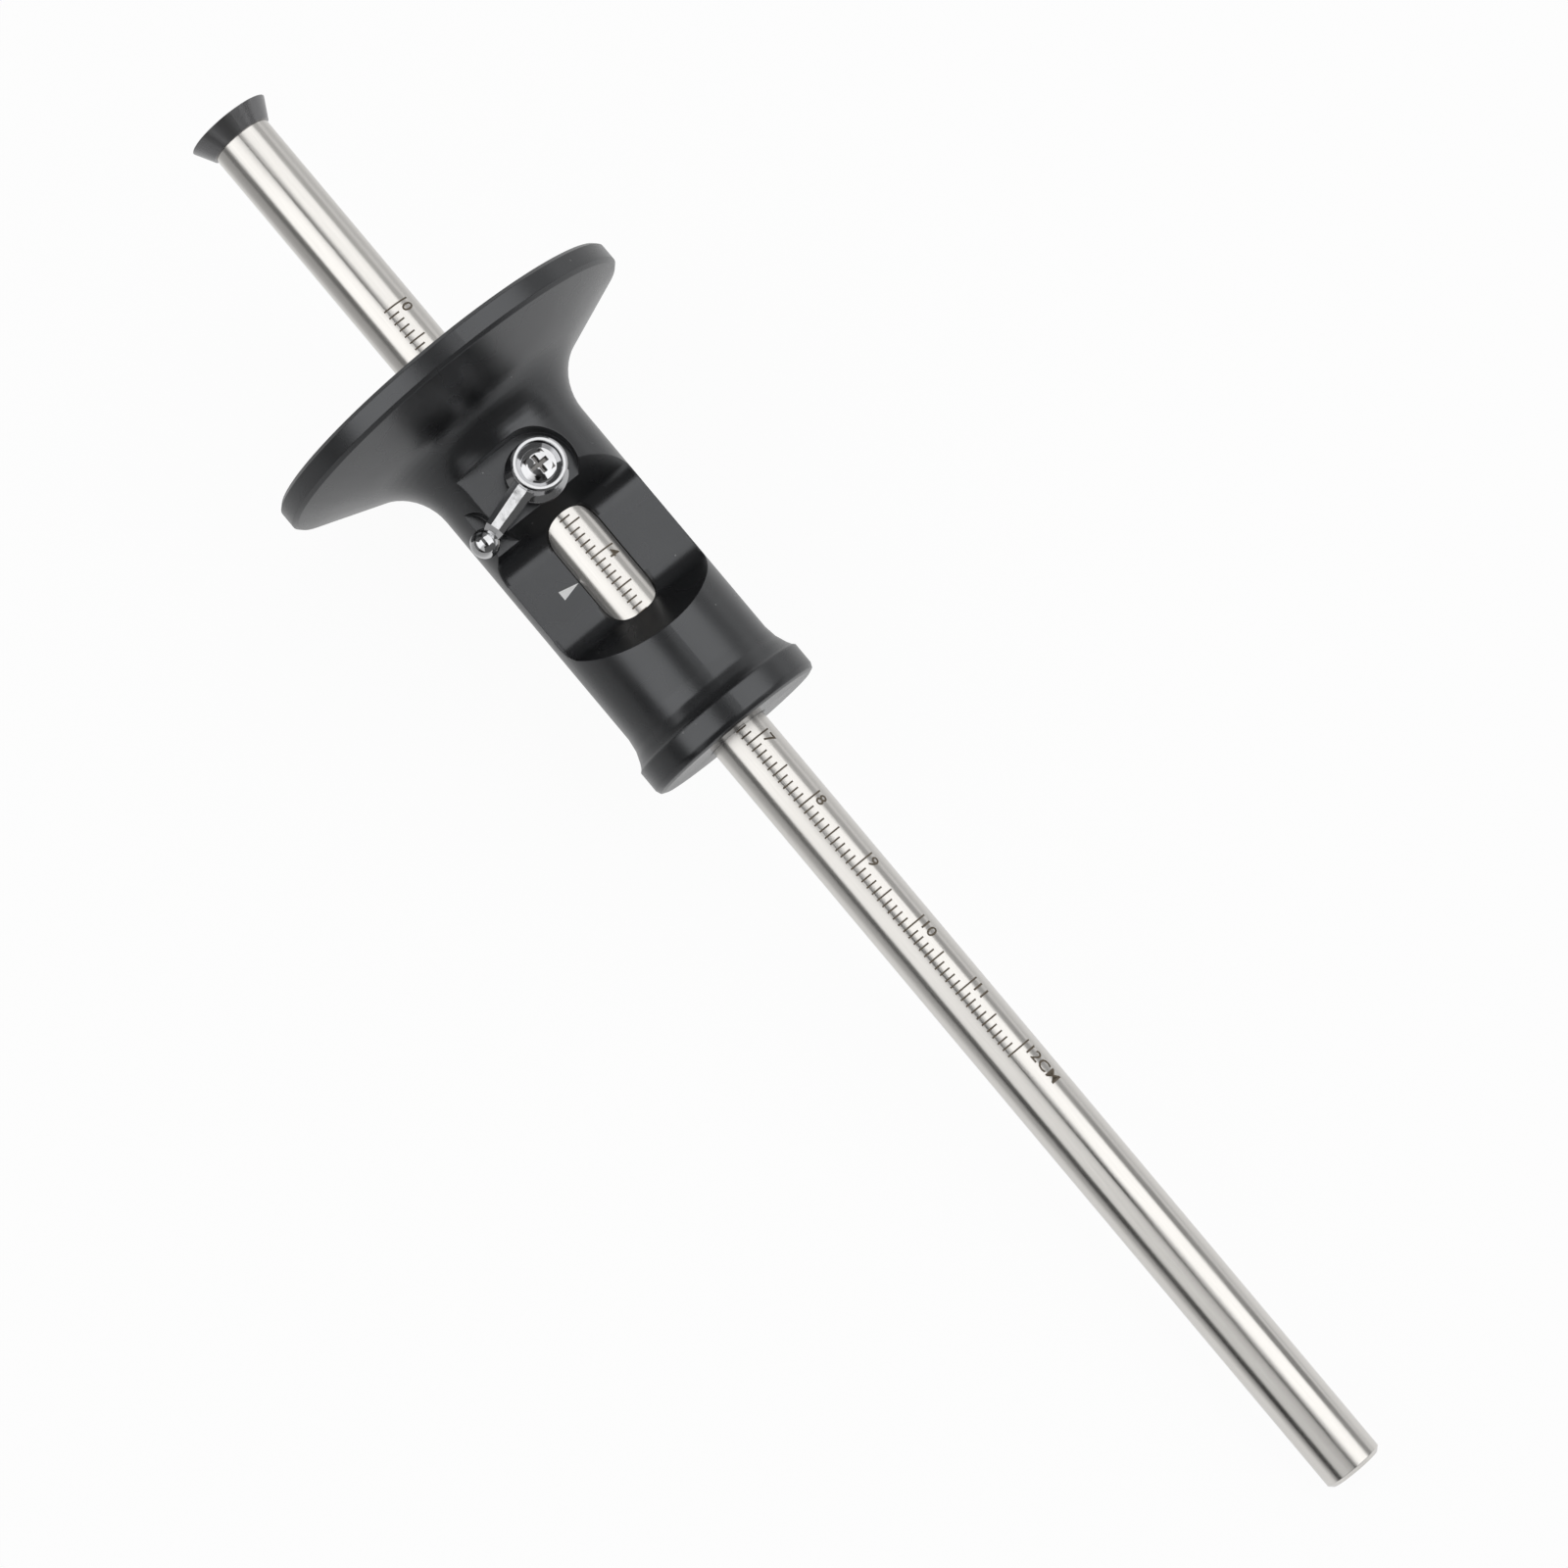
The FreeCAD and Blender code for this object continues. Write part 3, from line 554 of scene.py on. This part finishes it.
def add_world():
    """White all round for camera and glass, softer in reflections and as light."""
    world = bpy.data.worlds.new("studio")
    world.use_nodes = True
    tree = world.node_tree
    background = next(item for item in tree.nodes if item.type == "BACKGROUND")
    background.inputs["Color"].default_value = (1, 1, 1, 1)
    rays = node(tree, "ShaderNodeLightPath").outputs
    seen = calculate(tree, "MAXIMUM", rays["Is Camera Ray"], rays["Is Transmission Ray"])
    extra = WORLD_MIRRORED - WORLD_LIGHT
    mirrored = calculate(tree, "MULTIPLY_ADD", rays["Is Glossy Ray"], extra, WORLD_LIGHT)
    strength = calculate(tree, "MULTIPLY_ADD", seen, 1.0 - WORLD_LIGHT, mirrored)
    tree.links.new(strength, background.inputs["Strength"])
    bpy.context.scene.world = world


CARD_DISTANCE = 900.0
NEAR_CARD_DISTANCE = 850.0
END_CARD_DISTANCE = 800.0
CARD_LENGTH = 2600.0
CARD_MIDDLE = -20.0
END_CARD_REACH = 700.0
TAIL_CORNER_START = 60.0
BOX_FADE = 60.0
BOX_EDGE_GLOW = 0.5
GLOW_CHANGE = (-250.0, 60.0)


def faded(tree, strength, across, half, fade):
    """The strength, eased down toward the long edges of a card half as wide as given."""
    reach = calculate(tree, "ABSOLUTE", across)
    old = ((half - fade) * MM, half * MM)
    edge = map_range(tree, reach, old, (1.0, BOX_EDGE_GLOW), "SMOOTHSTEP")
    return calculate(tree, "MULTIPLY", strength, edge)


def glow_material(name, wheel_end, tail_end, half, fade):
    """Light that changes from one end of a card to the other and, with a fade, at its long edges."""
    material = bpy.data.materials.new(name)
    material.use_nodes = True
    tree = material.node_tree
    tree.nodes.clear()
    parts = axes(tree, node(tree, "ShaderNodeTexCoord").outputs["Object"])
    change = [end * MM for end in GLOW_CHANGE]
    strength = map_range(tree, parts["X"], change, (tail_end, wheel_end), "SMOOTHSTEP")
    if fade:
        strength = faded(tree, strength, parts["Y"], half, fade)
    glow = node(tree, "ShaderNodeEmission")
    tree.links.new(strength, glow.inputs["Strength"])
    output = node(tree, "ShaderNodeOutputMaterial")
    tree.links.new(glow.outputs["Emission"], output.inputs["Surface"])
    return material


def add_card(name, corners, place, turn, material):
    """A glowing sheet that lights and is mirrored, and that the camera doesn't see itself."""
    mesh = bpy.data.meshes.new(name)
    mesh.from_pydata([Vector(corner) * MM for corner in corners], [], [(0, 1, 2, 3)])
    mesh.materials.append(material)
    card = bpy.data.objects.new(name, mesh)
    card.location = (Vector(place) + Vector((CARD_MIDDLE, 0, 0))) * MM
    card.rotation_euler = turn
    card.visible_camera = False
    card.visible_shadow = False
    bpy.context.scene.collection.objects.link(card)


def add_long_card(name, low, high, wheel_end, tail_end, distance=NEAR_CARD_DISTANCE, fade=0.0):
    """A card beside the tool's axis, from one angle to another off the zenith toward -Y."""
    middle = math.radians(low + high) / 2
    half = distance * math.tan(math.radians(high - low) / 2)
    material = glow_material(name, wheel_end, tail_end, half, fade)
    place = (0, -distance * math.sin(middle), distance * math.cos(middle))
    add_card(name, rectangle(CARD_LENGTH / 2, half), place, (middle, 0, 0), material)


def add_soft_box(name, low, high, wheel_end, tail_end):
    """A long card behind the others, with soft long edges."""
    add_long_card(name, low, high, wheel_end, tail_end, distance=CARD_DISTANCE, fade=BOX_FADE)


def add_end_card(name, low, high, strength, side_low=-END_CARD_REACH, side_high=END_CARD_REACH):
    """A card across the tool's axis, from one angle to another off the zenith toward +X."""
    middle = math.radians(low + high) / 2
    half = END_CARD_DISTANCE * math.tan(math.radians(high - low) / 2)
    side = (side_low + side_high) / 2
    place = (END_CARD_DISTANCE * math.sin(middle), side, END_CARD_DISTANCE * math.cos(middle))
    corners = rectangle(half, (side_high - side_low) / 2)
    material = glow_material(name, strength, strength, half, 0.0)
    add_card(name, corners, place, (0, middle, 0), material)


def add_studio():
    """Two long soft boxes, a dim gap between them for the camera, and dark cards all round."""
    add_world()
    add_floor()
    add_soft_box("left_box", -70, -16, wheel_end=1.38, tail_end=0.64)
    add_soft_box("right_box", 0, 58, wheel_end=1.26, tail_end=1.4)
    add_long_card("camera_gap", -19, 5, wheel_end=0.16, tail_end=0.02)
    add_long_card("left_shade", -104, -70, wheel_end=0.16, tail_end=0.02)
    add_long_card("right_shade", 55, 79, wheel_end=0.48, tail_end=0.25)
    add_end_card("wheel_end_shade", 38, 88, strength=0.1)
    add_end_card("tail_end_shade", -92, -36, strength=0.12)
    add_end_card("tail_corner_shade", -38, -22, strength=0.06, side_low=TAIL_CORNER_START)


add_camera()
dress_nodes()
ink = etched_ink()
add_ticks(ink)
add_numbers(ink)
add_index_mark(white_paint())
add_studio()

bpy.context.scene.view_settings.view_transform = "Standard"
